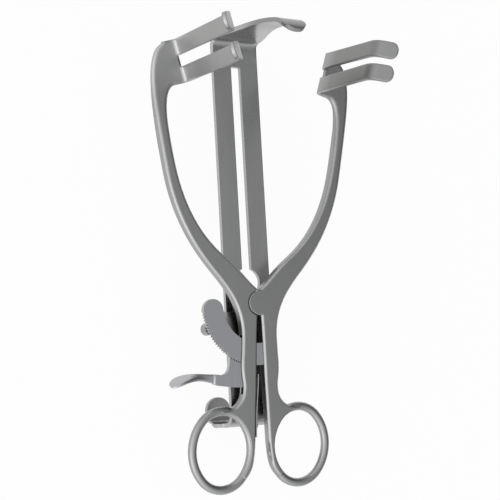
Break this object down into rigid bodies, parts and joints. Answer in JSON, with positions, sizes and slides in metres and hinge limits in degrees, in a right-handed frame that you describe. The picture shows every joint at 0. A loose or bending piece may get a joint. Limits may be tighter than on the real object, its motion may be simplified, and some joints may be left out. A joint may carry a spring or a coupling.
{
  "type": "self retaining retractor",
  "caption": "Surgical self retaining retractor with ring handles, forked side blades, ratchet rack with pawl, and a centre blade on a slotted sliding bar.",
  "frame": {"origin": "On the pivot axis of the two arms, on the flat front face of the joint.", "axes": "+X towards the right arm, +Y along the instrument from the rings to the blades, +Z out of the front face of the joint."},
  "size_m": [0.1274, 0.2617, 0.1236],
  "materials": {
    "arm_steel": "satin",
    "blade_steel": "satin",
    "guide_steel": "satin",
    "rack_steel": "satin",
    "lever_steel": "satin",
    "spring_steel": "satin",
    "pin_steel": "satin",
    "screw_steel": "satin"
  },
  "bodies": {
    "guide": {"bar_guide": "guide_steel", "pivot_stud": "screw_steel", "guide_screw": "screw_steel", "catch_pin": "pin_steel", "catch_spring": "spring_steel", "catch_spring_screw": "screw_steel", "thrust_washer": "screw_steel"},
    "left_arm_body": {"left_arm": "arm_steel", "pawl_pin": "pin_steel", "pawl_spring": "spring_steel", "pawl_spring_screw": "screw_steel"},
    "right_arm_body": {"right_arm": "arm_steel", "ratchet_rack": "rack_steel", "rack_pins": "pin_steel"},
    "pawl": {"pawl_lever": "lever_steel"},
    "catch": {"catch_lever": "lever_steel"},
    "centre_bar": {"centre_blade": "blade_steel"}
  },
  "joints": [
    {"name": "left_arm_spread", "type": "hinge", "parent": "guide", "child": "left_arm_body", "pos_m": [0, 0, 0], "axis": [0, 0, 1], "range_deg": [-10, 2]},
    {"name": "right_arm_spread", "type": "hinge", "parent": "guide", "child": "right_arm_body", "pos_m": [0, 0, 0], "axis": [0, 0, 1], "range_deg": [-2, 10]},
    {"name": "pawl_release", "type": "hinge", "parent": "left_arm_body", "child": "pawl", "pos_m": [-0.0064, -0.0384, -0.0029], "axis": [0, 0, 1], "range_deg": [0, 8], "stiffness_Nm_per_rad": 0.3, "springref_deg": -8.59, "deforming": ["pawl_spring"]},
    {"name": "centre_blade_slide", "type": "slide", "parent": "guide", "child": "centre_bar", "axis": [0, 0.9976, -0.0698], "range_m": [-0.1, 0]},
    {"name": "catch_release", "type": "hinge", "parent": "guide", "child": "catch", "pos_m": [-0.01975, -0.01496, -0.01225], "axis": [0, 0.0698, 0.9976], "range_deg": [0, 10], "stiffness_Nm_per_rad": 0.1, "springref_deg": -8.59, "deforming": ["catch_spring"]}
  ],
  "couplings": [
    {"joint": "right_arm_spread", "follows": "left_arm_spread", "ratio": -1}
  ]
}
